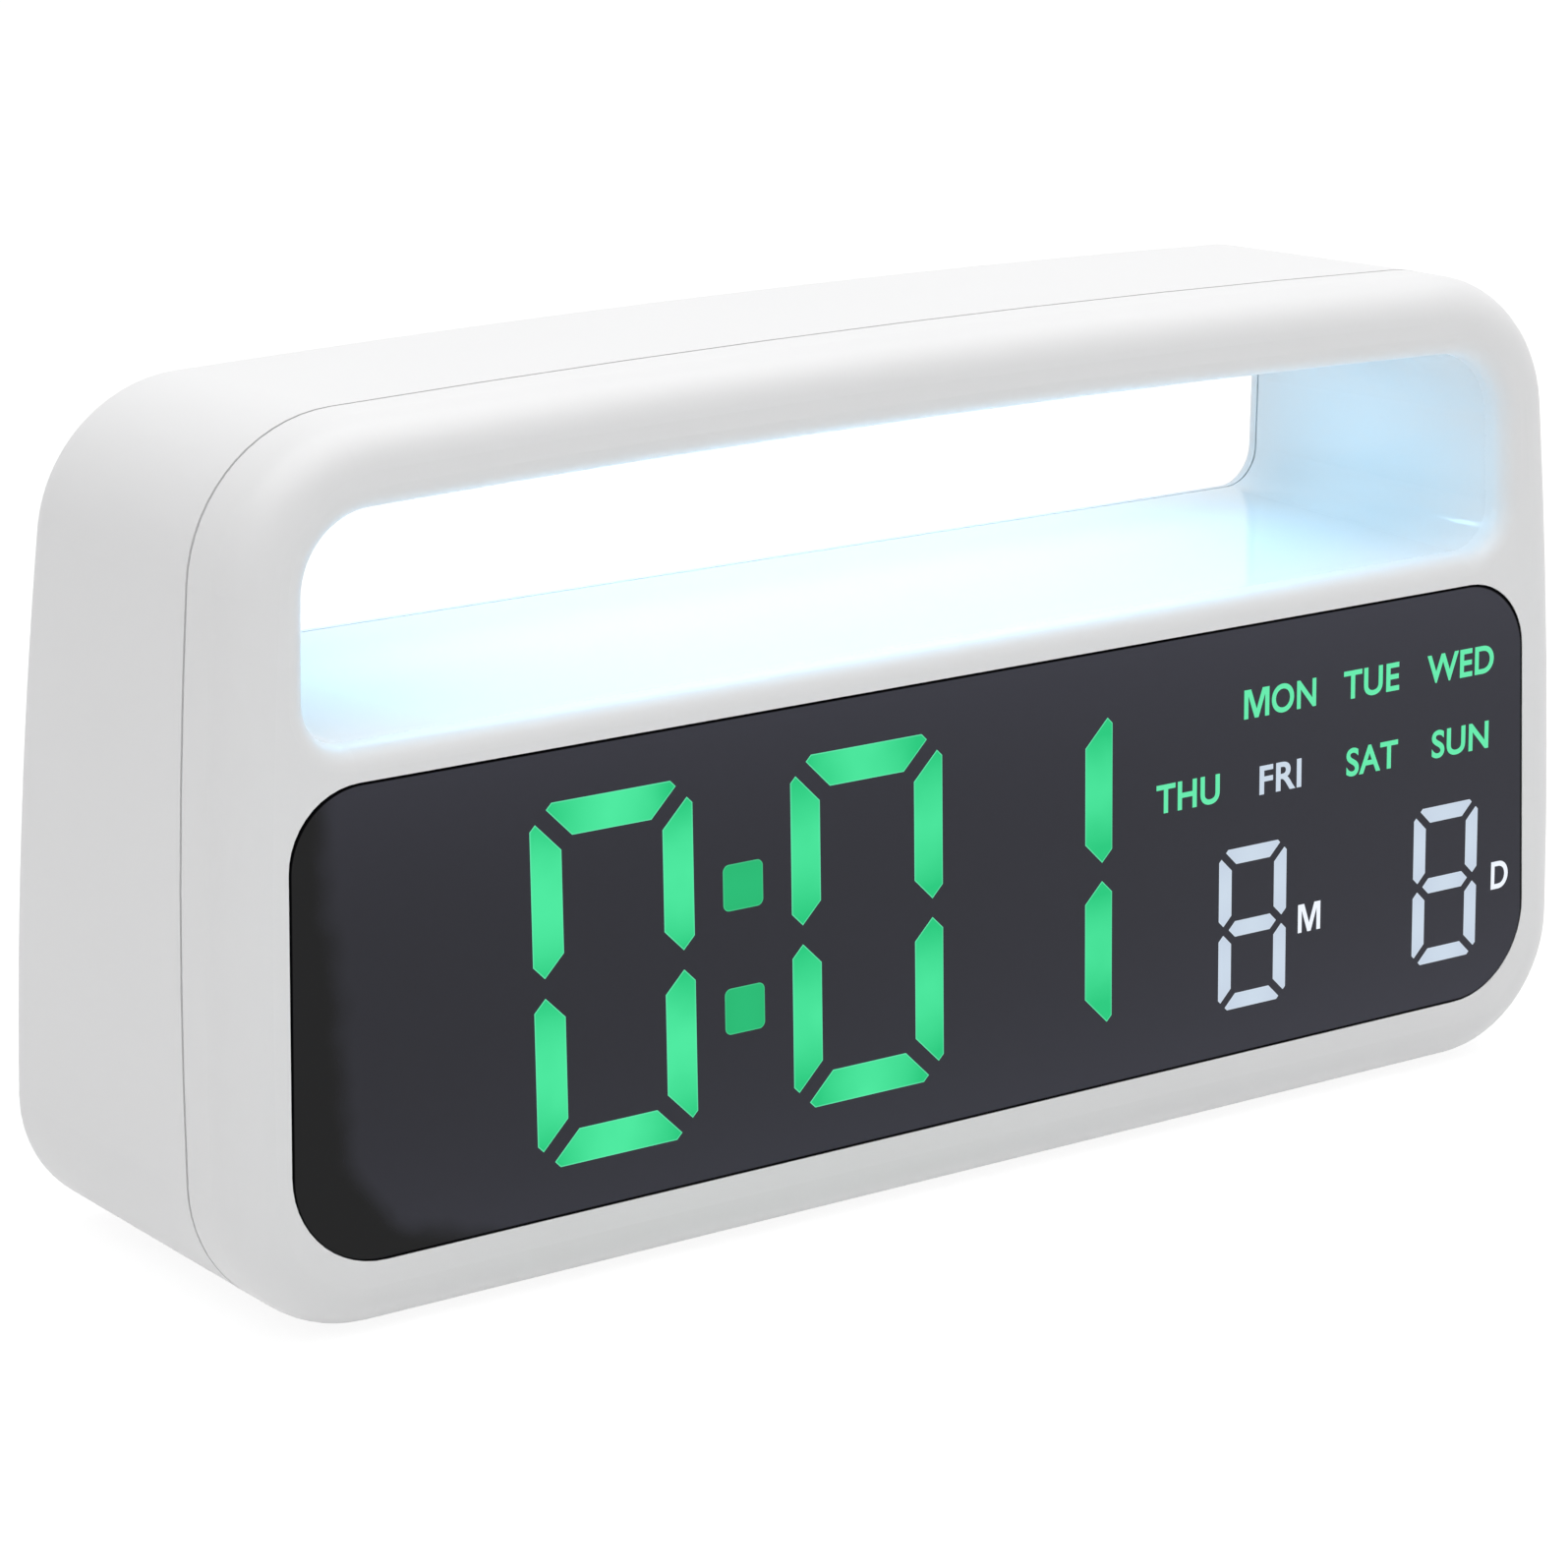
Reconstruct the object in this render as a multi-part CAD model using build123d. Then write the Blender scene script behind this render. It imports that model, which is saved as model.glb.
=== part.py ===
from build123d import *
import math
import os

# A calendar alarm clock with a carry handle that holds a night light.
# X runs to the viewer's right, Y to the back and Z up.
# Pieces are drawn with the display face on y = 0 and the base of the body on z = 0.
# At the end all of them move alike, so that the origin is the bottom centre of the clock.

# Body, seen from the front
body_width = 192.8
body_height = 101.5
crown_rise = 1.75
widest_height = 18.0
base_inset = 0.2
shoulder_inset = 4.9
base_corner_radius = 17.1
shoulder_corner_radius = 18.7

# Body, seen from the side
back_depth = 56.9
back_lean = 5.3
seam_depth = 11.0
seam_gap = 0.45
draft_angle = 1.05
front_edge_radius = 5.2
back_edge_radius = 3.0

# Walls and fits
shell_wall = 2.4
front_wall = 3.4
sleeve_wall = 2.0
tongue_wall = 1.1
tongue_length = 0.9
fit_clearance = 0.1
loose_clearance = 0.3
overrun = 1.0

# Bars of the front that frame the tunnel and the display
pillar_width = 11.1
handle_height = 9.4
shelf_bar = 3.57
bezel_side = 6.6
bezel_floor = 8.1

# Tunnel under the handle, which narrows a little to the back
tunnel_height_share = 0.2626
tunnel_side_draw = 0.2
tunnel_floor_draw = 1.5
tunnel_top_draw = 2.7
tunnel_side_lean = 1.0
tunnel_crown = 1.4
tunnel_front_floor_radius = 5.5
tunnel_front_top_radius = 9.0
tunnel_back_floor_radius = 4.5
tunnel_back_top_radius = 8.0
tunnel_end_room = 4.6
tunnel_rim_radius = 2.5
tunnel_back_rim_radius = 2.0

# Display panel
panel_side_draw = 1.7
panel_base_corner_radius = 11.3
panel_top_corner_radius = 9.0
panel_thickness = 2.0
panel_ledge = 3.0

# Large digits of the time, as shares of the panel; bars as shares of the digit's width
time_width_share = 0.1189
time_height_share = 0.7785
time_bar_share = 0.1888
time_pitch_share = 0.1397
time_floor_share = 0.1090
hours_left_share = -0.3256
colon_room_share = 0.0533
colon_size_share = 0.0302
colon_spacing_share = 0.2698
colon_corner_radius = 0.8

# Small digits of the date, in the same way
date_width_share = 0.0594
date_height_share = 0.3771
date_bar_share = 0.184
date_pitch_share = 0.0737
date_floor_share = 0.1103
month_left_share = 0.2185
day_left_share = 0.3939

# Shape of a segment, as shares of its bar
corner_gap_share = 0.36
tip_cut_share = 0.18
middle_gap_share = 0.28
tip_place_share = 0.37

# Light box, boards and lamps
light_box_depth = 8.0
light_well_margin = 0.3
ear_thickness = 2.0
ear_setback = 4.0
ear_radius = 3.5
ear_inset = 7.0
board_thickness = 1.6
lamp_length = 1.8
lamp_width = 1.1
lamp_height = 0.8
main_board_inset = 22.0
main_board_height = 19.0
main_board_headroom = 1.6
main_board_setback = 16.0
header_width = 26.0
header_thickness = 2.6

# Screws and the posts that take them
case_screw_inset = 7.6
case_screw_low = 15.0
case_well_headroom = 4.8
case_post_radius = 3.4
case_well_radius = 4.6
case_head_radius = 2.8
case_head_height = 2.0
case_shank_radius = 1.45
case_shank_length = 12.0
case_joint_depth = 26.0
well_floor_thickness = 2.0
board_head_radius = 2.0
board_head_height = 1.4
board_shank_radius = 1.1
board_shank_length = 5.0
board_post_radius = 2.8
board_post_inset = 6.0
board_post_spacing = 12.0
screw_play = 0.05
box_screw_rise_share = 0.25

# Buttons on the back
button_names = ("set_button", "up_button", "down_button", "alarm_button", "light_button")
button_pitch_share = 0.128
button_radius = 4.5
button_proud = 1.0
button_edge_radius = 0.5
button_travel = 0.8
button_flange_radius = 5.8
button_flange_thickness = 1.2
button_collar_radius = 6.4
button_collar_length = 2.4
button_free_play = 0.1
switch_size = 6.0
switch_height = 3.5
switch_plunger_radius = 1.7

# Power inlet on the back
jack_inset = 16.0
jack_width = 9.0
jack_height = 11.0
jack_nose_radius = 4.2
jack_bore_radius = 2.85
jack_bore_depth = 8.5
jack_pin_radius = 1.0
jack_pin_setback = 1.0
jack_sunk = 0.4

# Sounder behind its slots
buzzer_inset = 20.0
buzzer_height = 21.0
buzzer_radius = 11.0
buzzer_thickness = 5.0
sound_slot_count = 5
sound_slot_length = 13.0
sound_slot_width = 1.4
sound_slot_pitch = 3.2

# Backup cells in their well in the back
cell_radius = 5.25
cell_length = 43.7
cell_nub_radius = 1.9
cell_nub_length = 0.8
cell_play = 0.2
cell_gap = 0.6
contact_size = 8.0
contact_thickness = 0.4
door_floor_room = 6.4
well_wall = 1.5
door_thickness = 1.6
door_ledge = 1.6
door_gap = 0.3
door_corner_radius = 2.5
door_rib_count = 3
door_rib_length = 12.0
door_rib_width = 1.0
door_rib_proud = 0.5
door_rib_pitch = 2.4
door_rib_rise_share = 0.25
door_tongue_width = 10.0
door_tongue_length = 1.6
door_tongue_thickness = 1.0

# Feet
foot_radius = 5.0
foot_thickness = 1.6
foot_proud = 0.8
foot_side_inset = 26.0
foot_front_inset = 18.0
foot_back_inset = 10.6

# Night light in the handle
diffuser_end_room = 17.0
diffuser_width = 6.0
strip_setback = 12.4
strip_board_reach = 6.0
strip_board_width = 11.0
strip_board_rise = 1.3
strip_lamp_count = 12
strip_lamp_length = 3.5
strip_lamp_width = 2.8
strip_lamp_height = 0.9
strip_post_length = 4.0
lead_radius = 0.8
lead_side_room = 0.5
lead_start_inset = 8.0
lead_end_inset = 4.0
lead_bend_radius = 17.0

# Places that follow from the sizes above
half_width = body_width / 2
far = 2 * body_width
lean_slope = math.tan(math.radians(back_lean))
wall_along_y = shell_wall / math.cos(math.radians(back_lean))
draft_length = back_depth - seam_depth + overrun
draft_inset = draft_length * math.tan(math.radians(draft_angle))

tunnel_length = back_depth - tunnel_end_room
tunnel_height = tunnel_height_share * body_height
tunnel_front_width = body_width - 2 * pillar_width
tunnel_front_top = body_height - handle_height
tunnel_front_floor = tunnel_front_top - tunnel_height
tunnel_back_width = tunnel_front_width - 2 * tunnel_side_draw
tunnel_back_floor = tunnel_front_floor + tunnel_floor_draw
tunnel_back_top = tunnel_front_top - tunnel_top_draw

panel_base_width = body_width - 2 * bezel_side
panel_top_width = panel_base_width - 2 * panel_side_draw
panel_floor = bezel_floor
panel_height = tunnel_front_floor - shelf_bar - bezel_floor

time_digit_width = time_width_share * panel_base_width
time_digit_height = time_height_share * panel_height
time_bar = time_bar_share * time_digit_width
time_pitch = time_pitch_share * panel_base_width
time_floor = panel_floor + time_floor_share * panel_height
hours_left = hours_left_share * panel_base_width
colon_room = colon_room_share * panel_base_width
colon_size = colon_size_share * panel_base_width
colon_spacing = colon_spacing_share * panel_height
date_digit_width = date_width_share * panel_base_width
date_digit_height = date_height_share * panel_height
date_bar = date_bar_share * date_digit_width
date_pitch = date_pitch_share * panel_base_width
date_floor = panel_floor + date_floor_share * panel_height
month_left = month_left_share * panel_base_width
day_left = day_left_share * panel_base_width

box_back = panel_thickness + light_box_depth
display_board_back = box_back + board_thickness
main_board_width = body_width - 2 * main_board_inset
main_board_top = tunnel_front_floor - sleeve_wall - main_board_headroom
main_board_middle = main_board_top - main_board_height / 2
main_board_depth = back_depth - main_board_middle * lean_slope - main_board_setback
main_board_back = main_board_depth + board_thickness
button_height = main_board_middle
button_pitch = button_pitch_share * main_board_width
jack_x = jack_inset - main_board_width / 2
buzzer_x = main_board_width / 2 - buzzer_inset
board_post_x = main_board_width / 2 - board_post_inset
case_screw_x = half_width - case_screw_inset
case_screw_high = tunnel_front_floor - sleeve_wall - case_well_headroom - case_well_radius

well_length = cell_length + cell_nub_length + 2 * (contact_thickness + cell_play)
well_height = 4 * cell_radius + cell_gap + 2 * cell_play
well_depth = 2 * cell_radius + 2 * cell_play + door_thickness
door_width = well_length + 2 * door_ledge
door_height = well_height + 2 * door_ledge
well_centre_height = door_floor_room + door_height / 2
cell_offset = -door_thickness - cell_play - cell_radius
cell_rise = cell_radius + cell_gap / 2

foot_places = [
    (x, depth)
    for x in (foot_side_inset - half_width, half_width - foot_side_inset)
    for depth in (foot_front_inset, back_depth - foot_back_inset)
]
diffuser_length = tunnel_back_width - 2 * diffuser_end_room
diffuser_depth = back_depth - tunnel_front_top * lean_slope - strip_setback
strip_board_length = diffuser_length + 2 * strip_board_reach
strip_board_height = tunnel_front_top + strip_board_rise
strip_lamp_pitch = diffuser_length / strip_lamp_count
strip_post_x = (diffuser_length + strip_board_reach) / 2
sleeve_draw_at_lead = tunnel_side_draw * main_board_depth / tunnel_length
sleeve_side_at_lead = tunnel_front_width / 2 - sleeve_draw_at_lead + sleeve_wall
lead_pillar_x = sleeve_side_at_lead + lead_side_room + lead_radius
lead_start_x = main_board_width / 2 - lead_start_inset
lead_end_x = strip_board_length / 2 - lead_end_inset

BACK = Plane(
    origin=(0, back_depth, 0),
    x_dir=(-1, 0, 0),
    z_dir=(0, math.cos(math.radians(back_lean)), math.sin(math.radians(back_lean))),
)


def front_plane(depth):
    """Plane seen from the front, at a depth behind the display face."""
    return Plane.XZ.offset(-depth)


def slab(outline, near, away):
    """Extrude a front-view outline from one depth to another."""
    return extrude(front_plane(near) * outline, near - away)


def rod(x, height, radius, near, away):
    """Round bar along the depth, centred on a point of the front view."""
    return slab(Pos(x, height) * Circle(radius), near, away)


def bar(x, height, width, tall, near, away):
    """Square bar along the depth, centred on a point of the front view."""
    return slab(Pos(x, height) * Rectangle(width, tall), near, away)


def back_face_depth(height):
    """Depth of the leaning back face at a height above the base."""
    return back_depth - height * lean_slope


def behind(offset):
    """Everything behind the back face, moved out by an offset."""
    return extrude(BACK.offset(offset) * Rectangle(far, far), far)


def body_outline(side=0, top=0, base=0):
    """Front view of the body: bowed sides, crowned top, flat base, drawn in by the given insets."""
    half = half_width - side
    shoulder_height = body_height - crown_rise - top
    foot = (half - base_inset, base)
    waist = (half, widest_height)
    shoulder = (half - shoulder_inset, shoulder_height)
    outline = make_face([
        Line((-foot[0], foot[1]), foot),
        ThreePointArc(foot, waist, shoulder),
        ThreePointArc(shoulder, (0, body_height - top), (-shoulder[0], shoulder[1])),
        ThreePointArc((-shoulder[0], shoulder[1]), (-waist[0], waist[1]), (-foot[0], foot[1])),
    ])
    outline = fillet(outline.vertices().group_by(Axis.Y)[0], base_corner_radius - side)
    upper = [corner for corner in outline.vertices() if corner.Y > shoulder_height - crown_rise]
    return fillet(upper, shoulder_corner_radius - side)


def drafted_body(inset):
    """Body behind the seam, drawn in by an inset and tapering to the back, flat underneath."""
    near = front_plane(seam_depth) * body_outline(inset, inset, inset)
    away = front_plane(seam_depth + draft_length) * body_outline(
        inset + draft_inset, inset + draft_inset, inset
    )
    return loft([near, away], ruled=True)


def tunnel_outline(width, floor, top, floor_radius, top_radius, grow):
    """Front view of the tunnel: leaning sides under a crowned top, grown by a wall."""
    half = width / 2 + grow
    low = floor - grow
    high = top + grow
    corner = (half - tunnel_side_lean, high - tunnel_crown)
    outline = make_face([
        Line((-half, low), (half, low)),
        Line((half, low), corner),
        ThreePointArc(corner, (0, high), (-corner[0], corner[1])),
        Line((-corner[0], corner[1]), (-half, low)),
    ])
    outline = fillet(outline.vertices().group_by(Axis.Y)[0], floor_radius + grow)
    upper = [point for point in outline.vertices() if point.Y > corner[1] - tunnel_crown]
    return fillet(upper, top_radius + grow)


def tunnel_solid(grow):
    """Tapered core of the tunnel, from the display face to past the back."""
    near = tunnel_outline(
        tunnel_front_width, tunnel_front_floor, tunnel_front_top,
        tunnel_front_floor_radius, tunnel_front_top_radius, grow,
    )
    away = tunnel_outline(
        tunnel_back_width, tunnel_back_floor, tunnel_back_top,
        tunnel_back_floor_radius, tunnel_back_top_radius, grow,
    )
    return loft([front_plane(0) * near, front_plane(tunnel_length) * away], ruled=True)


def panel_outline(inset):
    """Front view of the display panel, drawn in by an inset."""
    base_half = panel_base_width / 2 - inset
    top_half = panel_top_width / 2 - inset
    low = panel_floor + inset
    high = panel_floor + panel_height - inset
    outline = make_face(Polyline(
        (-base_half, low), (base_half, low), (top_half, high), (-top_half, high), close=True
    ))
    outline = fillet(outline.vertices().group_by(Axis.Y)[0], panel_base_corner_radius - inset)
    return fillet(outline.vertices().group_by(Axis.Y)[-1], panel_top_corner_radius - inset)


def digit_segments(width, height, thick):
    """The seven segments of a digit, by their usual letters, from its lower left corner."""
    gap = corner_gap_share * thick
    cut = tip_cut_share * thick
    tip = tip_place_share * thick
    middle = height / 2
    end = middle + middle_gap_share * thick
    bar_tip = 2 * gap + tip - middle_gap_share * thick
    top = [
        (gap + 2 * cut, height), (width - gap - 2 * cut, height), (width - gap - cut, height - cut),
        (width - gap - thick, height - thick), (gap + thick, height - thick), (gap + cut, height - cut),
    ]
    side = [
        (0, height - gap - 2 * cut), (cut, height - gap - cut), (thick, height - gap - thick),
        (thick, end + thick - tip), (tip, end), (0, end + tip),
    ]
    centre = [
        (bar_tip, middle), (bar_tip + thick / 2, middle + thick / 2),
        (width - bar_tip - thick / 2, middle + thick / 2), (width - bar_tip, middle),
        (width - bar_tip - thick / 2, middle - thick / 2), (bar_tip + thick / 2, middle - thick / 2),
    ]
    across = [(width - x, z) for x, z in side]
    return {
        "a": top,
        "b": across,
        "c": [(x, height - z) for x, z in across],
        "d": [(x, height - z) for x, z in top],
        "e": [(x, height - z) for x, z in side],
        "f": side,
        "g": centre,
    }


def digit_faces(left, floor, width, height, thick, letters):
    """Faces of the lettered segments of one digit, placed on the front view."""
    shapes = digit_segments(width, height, thick)
    return [
        Pos(left, floor) * make_face(Polyline(*shapes[letter], close=True)) for letter in letters
    ]


def time_digit(left, letters):
    return digit_faces(left, time_floor, time_digit_width, time_digit_height, time_bar, letters)


def date_digit(left, letters):
    return digit_faces(left, date_floor, date_digit_width, date_digit_height, date_bar, letters)


hours_tens_left = hours_left - time_pitch
minutes_tens_left = hours_left + time_pitch + colon_room
minutes_units_left = minutes_tens_left + time_pitch
time_middle = time_floor + time_digit_height / 2
colon_x = (hours_left + time_digit_width + minutes_tens_left) / 2

lit_faces = {
    "hours_segments": time_digit(hours_left, "abcdef"),
    "minutes_tens_segments": time_digit(minutes_tens_left, "abcdef"),
    "minutes_units_segments": time_digit(minutes_units_left, "bc"),
    "month_segments": date_digit(month_left, "abcdefg"),
    "day_segments": date_digit(day_left, "abcdefg"),
    "colon_dots": [
        Pos(colon_x, time_middle + side * colon_spacing / 2)
        * RectangleRounded(colon_size, colon_size, colon_corner_radius)
        for side in (-1, 1)
    ],
}
unlit_faces = (
    time_digit(hours_tens_left, "abcdefg")
    + time_digit(hours_left, "g")
    + time_digit(minutes_tens_left, "g")
    + time_digit(minutes_units_left, "adefg")
    + date_digit(month_left - date_pitch, "bc")
    + date_digit(day_left - date_pitch, "abcdefg")
)
all_faces = unlit_faces + [face for faces in lit_faces.values() for face in faces]

box_screw_places = [
    (left + time_digit_width / 2, time_middle + side * box_screw_rise_share * time_digit_height)
    for left in (hours_tens_left, minutes_units_left)
    for side in (-1, 1)
]
ear_places = [(side * (half_width - ear_inset), time_middle) for side in (-1, 1)]
main_post_places = [
    (side * board_post_x, main_board_middle + rise * board_post_spacing / 2)
    for side in (-1, 1)
    for rise in (-1, 1)
]
case_screw_places = [
    (side * case_screw_x, height) for side in (-1, 1) for height in (case_screw_low, case_screw_high)
]
button_places = [
    ((index - (len(button_names) - 1) / 2) * button_pitch, button_height)
    for index in range(len(button_names))
]
strip_post_places = [side * strip_post_x for side in (-1, 1)]
ear_near = panel_thickness + ear_setback
ear_back = ear_near + ear_thickness


def handle_block(x, length, width):
    """Upright block through the handle's underside, from inside the tunnel up to the strip board."""
    middle = (tunnel_front_top + tunnel_front_floor) / 2
    outline = Pos(x, diffuser_depth, middle) * Rectangle(length, width)
    return extrude(outline, strip_board_height - middle)


def make_front_shell(tunnel_core, tunnel_skin):
    """Bezel with its rounded edge, the panel pocket and the sleeve of the tunnel."""
    shell = slab(body_outline(), 0, seam_depth - seam_gap)
    shell = fillet(shell.faces().sort_by(Axis.Y)[0].edges(), front_edge_radius)
    shell -= slab(body_outline(shell_wall, shell_wall, shell_wall), front_wall, seam_depth)
    rebate = shell_wall - tongue_wall - fit_clearance
    rebate_near = seam_depth - tongue_length - fit_clearance
    shell -= slab(body_outline(rebate, rebate, rebate), rebate_near, seam_depth)

    sleeve = tunnel_skin - behind(-shell_wall - loose_clearance)
    sleeve &= slab(Rectangle(far, far), front_wall / 2, far)
    shell = shell + sleeve - tunnel_core
    front = shell.faces().filter_by(Axis.Y).sort_by(Axis.Y)[0]
    shell = fillet(front.inner_wires()[0].edges(), tunnel_rim_radius)

    shell -= slab(panel_outline(0), -overrun, panel_thickness)
    shell -= slab(panel_outline(panel_ledge), 0, front_wall + overrun)
    for x, height in case_screw_places:
        shell += rod(x, height, case_post_radius, front_wall, case_joint_depth)
        pilot = case_shank_radius + screw_play
        tip = case_joint_depth + well_floor_thickness - case_shank_length
        shell -= rod(x, height, pilot, tip - overrun, case_joint_depth + overrun)
    for x, height in ear_places:
        shell += rod(x, height, ear_radius, front_wall, ear_near)
        tip = ear_back - board_shank_length
        pilot = board_shank_radius + screw_play
        shell -= rod(x, height, pilot, tip - loose_clearance, ear_near + overrun)
    for x in strip_post_places:
        shell += handle_block(x, strip_post_length, diffuser_width) - tunnel_core
    return shell - handle_block(0, diffuser_length, diffuser_width)


def back_rod(x, height, radius, inner, outer):
    """Round bar square to the back face, between two offsets from it."""
    return extrude(BACK.offset(inner) * (Pos(-x, height) * Circle(radius)), outer - inner)


def well_box(width, tall, inner, outer, corner=0):
    """Block on the back face, centred on the cell well, between two offsets from the face."""
    outline = RectangleRounded(width, tall, corner) if corner else Rectangle(width, tall)
    return extrude(BACK.offset(inner) * (Pos(0, well_centre_height) * outline), outer - inner)


def make_rear_shell(tunnel_core):
    """Back half of the body, with the cell well, screw wells, button collars and vents."""
    outer = drafted_body(0) - behind(0)
    outer = fillet(outer.faces().sort_by(Axis.Y)[-1].edges(), back_edge_radius)
    tongue_inset = shell_wall - tongue_wall
    tongue_near = seam_depth - tongue_length
    shell = outer + slab(body_outline(tongue_inset, tongue_inset, tongue_inset), tongue_near, seam_depth)
    cavity = drafted_body(shell_wall) - behind(-shell_wall)
    inner = body_outline(shell_wall, shell_wall, shell_wall)
    shell = shell - cavity - slab(inner, tongue_near - overrun, seam_depth)
    shell -= tunnel_core
    back_face = shell.faces().filter_by(BACK).sort_by(Axis(BACK.origin, BACK.z_dir))[-1]
    shell = fillet(back_face.inner_wires()[0].edges(), tunnel_back_rim_radius)

    shell += well_box(
        well_length + 2 * well_wall, well_height + 2 * well_wall, -well_depth - well_wall, -shell_wall / 2
    )
    shell -= well_box(well_length, well_height, -well_depth, overrun)
    shell -= well_box(door_width, door_height, -door_thickness, overrun, door_corner_radius)

    for x, height in case_screw_places:
        tube = rod(x, height, case_well_radius, case_joint_depth, back_depth)
        shell += tube - behind(-shell_wall / 2)
        seat = case_joint_depth + well_floor_thickness
        shell -= rod(x, height, case_head_radius + loose_clearance, seat, back_depth + overrun)
        shell -= rod(x, height, case_shank_radius + fit_clearance, case_joint_depth - overrun, back_depth)
    for x, height in main_post_places:
        post = rod(x, height, board_post_radius, main_board_back, back_depth)
        shell += post - behind(-shell_wall / 2)
        tip = main_board_depth + board_shank_length + loose_clearance
        shell -= rod(x, height, board_shank_radius + screw_play, main_board_back - overrun, tip)
    for x, height in button_places:
        collar_near = back_face_depth(height) - wall_along_y - button_collar_length
        collar = rod(x, height, button_collar_radius, collar_near, back_depth)
        shell += collar - behind(-shell_wall / 2)
        hole = button_radius + loose_clearance
        shell -= rod(x, height, hole, collar_near - overrun, back_depth + overrun)
    jack_hole = jack_nose_radius + fit_clearance
    shell -= rod(jack_x, button_height, jack_hole, main_board_back, back_depth + overrun)
    for index in range(sound_slot_count):
        rise = (index - (sound_slot_count - 1) / 2) * sound_slot_pitch
        slot = SlotOverall(sound_slot_length, sound_slot_width)
        place = Pos(-buzzer_x, buzzer_height + rise)
        shell -= extrude(BACK.offset(-shell_wall - overrun) * (place * slot), shell_wall + 2 * overrun)
    for x, depth in foot_places:
        recess = Pos(x, depth, 0) * Circle(foot_radius + fit_clearance)
        shell -= extrude(recess, foot_thickness - foot_proud)
    return shell


def make_display_panel():
    panel = slab(panel_outline(fit_clearance), 0, panel_thickness)
    return panel - [slab(face, -overrun, panel_thickness + overrun) for face in all_faces]


def make_segments(faces):
    return [slab(face, 0, panel_thickness) for face in faces]


def make_light_box():
    """Block behind the panel with one light well per segment and an ear at each end."""
    box = slab(panel_outline(panel_ledge + loose_clearance), panel_thickness, box_back)
    for x, height in ear_places:
        side = math.copysign(1, x)
        reach = abs(x) - panel_base_width / 2 + 2 * panel_ledge
        neck = bar(x - side * reach / 2, height, reach, 2 * ear_radius, ear_near, ear_back)
        box += neck + rod(x, height, ear_radius, ear_near, ear_back)
        box -= rod(x, height, board_shank_radius + fit_clearance, ear_near - overrun, ear_back + overrun)
    wells = [offset(face, light_well_margin, kind=Kind.INTERSECTION) for face in all_faces]
    box -= [slab(well, panel_thickness - overrun, box_back + overrun) for well in wells]
    for x, height in box_screw_places:
        tip = display_board_back - board_shank_length - loose_clearance
        box -= rod(x, height, board_shank_radius + screw_play, tip, box_back + overrun)
    return box


def make_display_board():
    board = slab(panel_outline(panel_ledge + loose_clearance), box_back, display_board_back)
    for x, height in box_screw_places:
        hole = board_shank_radius + fit_clearance
        board -= rod(x, height, hole, box_back - overrun, display_board_back + overrun)
    return board


def make_display_leds():
    lamps = []
    for face in all_faces:
        place = face.center()
        lamps.append(bar(place.X, place.Y, lamp_width, lamp_length, box_back - lamp_height, box_back))
    return lamps


def make_main_board():
    board = bar(
        0, main_board_middle, main_board_width, main_board_height, main_board_depth, main_board_back
    )
    for x, height in main_post_places:
        hole = board_shank_radius + fit_clearance
        board -= rod(x, height, hole, main_board_depth - overrun, main_board_back + overrun)
    return board


flange_back = back_face_depth(button_height) - wall_along_y - button_collar_length - button_free_play
flange_near = flange_back - button_flange_thickness
plunger_tip = flange_near - button_travel - button_free_play


def make_button(x, height):
    """Cap with a sloped face that follows the back, held inside by its flange."""
    cap = rod(x, height, button_radius, flange_back, back_depth + button_proud)
    cap -= behind(button_proud)
    cap = fillet(cap.faces().sort_by(Axis.Y)[-1].edges(), button_edge_radius)
    return cap + rod(x, height, button_flange_radius, flange_near, flange_back)


def make_tact_switches():
    switches = []
    for x, height in button_places:
        switch_top = main_board_back + switch_height
        base = bar(x, height, switch_size, switch_size, main_board_back, switch_top)
        switches.append(base + rod(x, height, switch_plunger_radius, switch_top, plunger_tip))
    return switches


def make_power_jack():
    """Round inlet on the main board, its nose in the back wall, with a bore round a pin."""
    shoulder = back_face_depth(button_height + jack_height / 2) - wall_along_y - fit_clearance
    nose_end = back_face_depth(button_height) - jack_sunk
    jack = bar(jack_x, button_height, jack_width, jack_height, main_board_back, shoulder)
    jack += rod(jack_x, button_height, jack_nose_radius, shoulder, nose_end)
    bore_floor = nose_end - jack_bore_depth
    jack -= rod(jack_x, button_height, jack_bore_radius, bore_floor, nose_end + overrun)
    pin = rod(jack_x, button_height, jack_pin_radius, bore_floor, nose_end - jack_pin_setback)
    return jack + pin


def make_buzzer():
    return back_rod(buzzer_x, buzzer_height, buzzer_radius, -shell_wall - buzzer_thickness, -shell_wall)


def make_battery_door():
    """Plate flush with the back, with thumb ribs outside and a locating tongue at each long edge."""
    door = well_box(
        door_width - 2 * door_gap, door_height - 2 * door_gap, -door_thickness, 0,
        door_corner_radius - door_gap,
    )
    ribs_middle = well_centre_height + door_rib_rise_share * well_height
    for index in range(door_rib_count):
        rise = (index - (door_rib_count - 1) / 2) * door_rib_pitch
        rib = Pos(0, ribs_middle + rise) * SlotOverall(door_rib_length, door_rib_width)
        door += extrude(BACK * rib, door_rib_proud)
    for side in (-1, 1):
        edge = well_height / 2 - door_tongue_thickness / 2 - door_gap
        tongue = Pos(0, well_centre_height + side * edge)
        tongue *= Rectangle(door_tongue_width, door_tongue_thickness)
        door += extrude(BACK.offset(-door_thickness) * tongue, -door_tongue_length)
    return door


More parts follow.
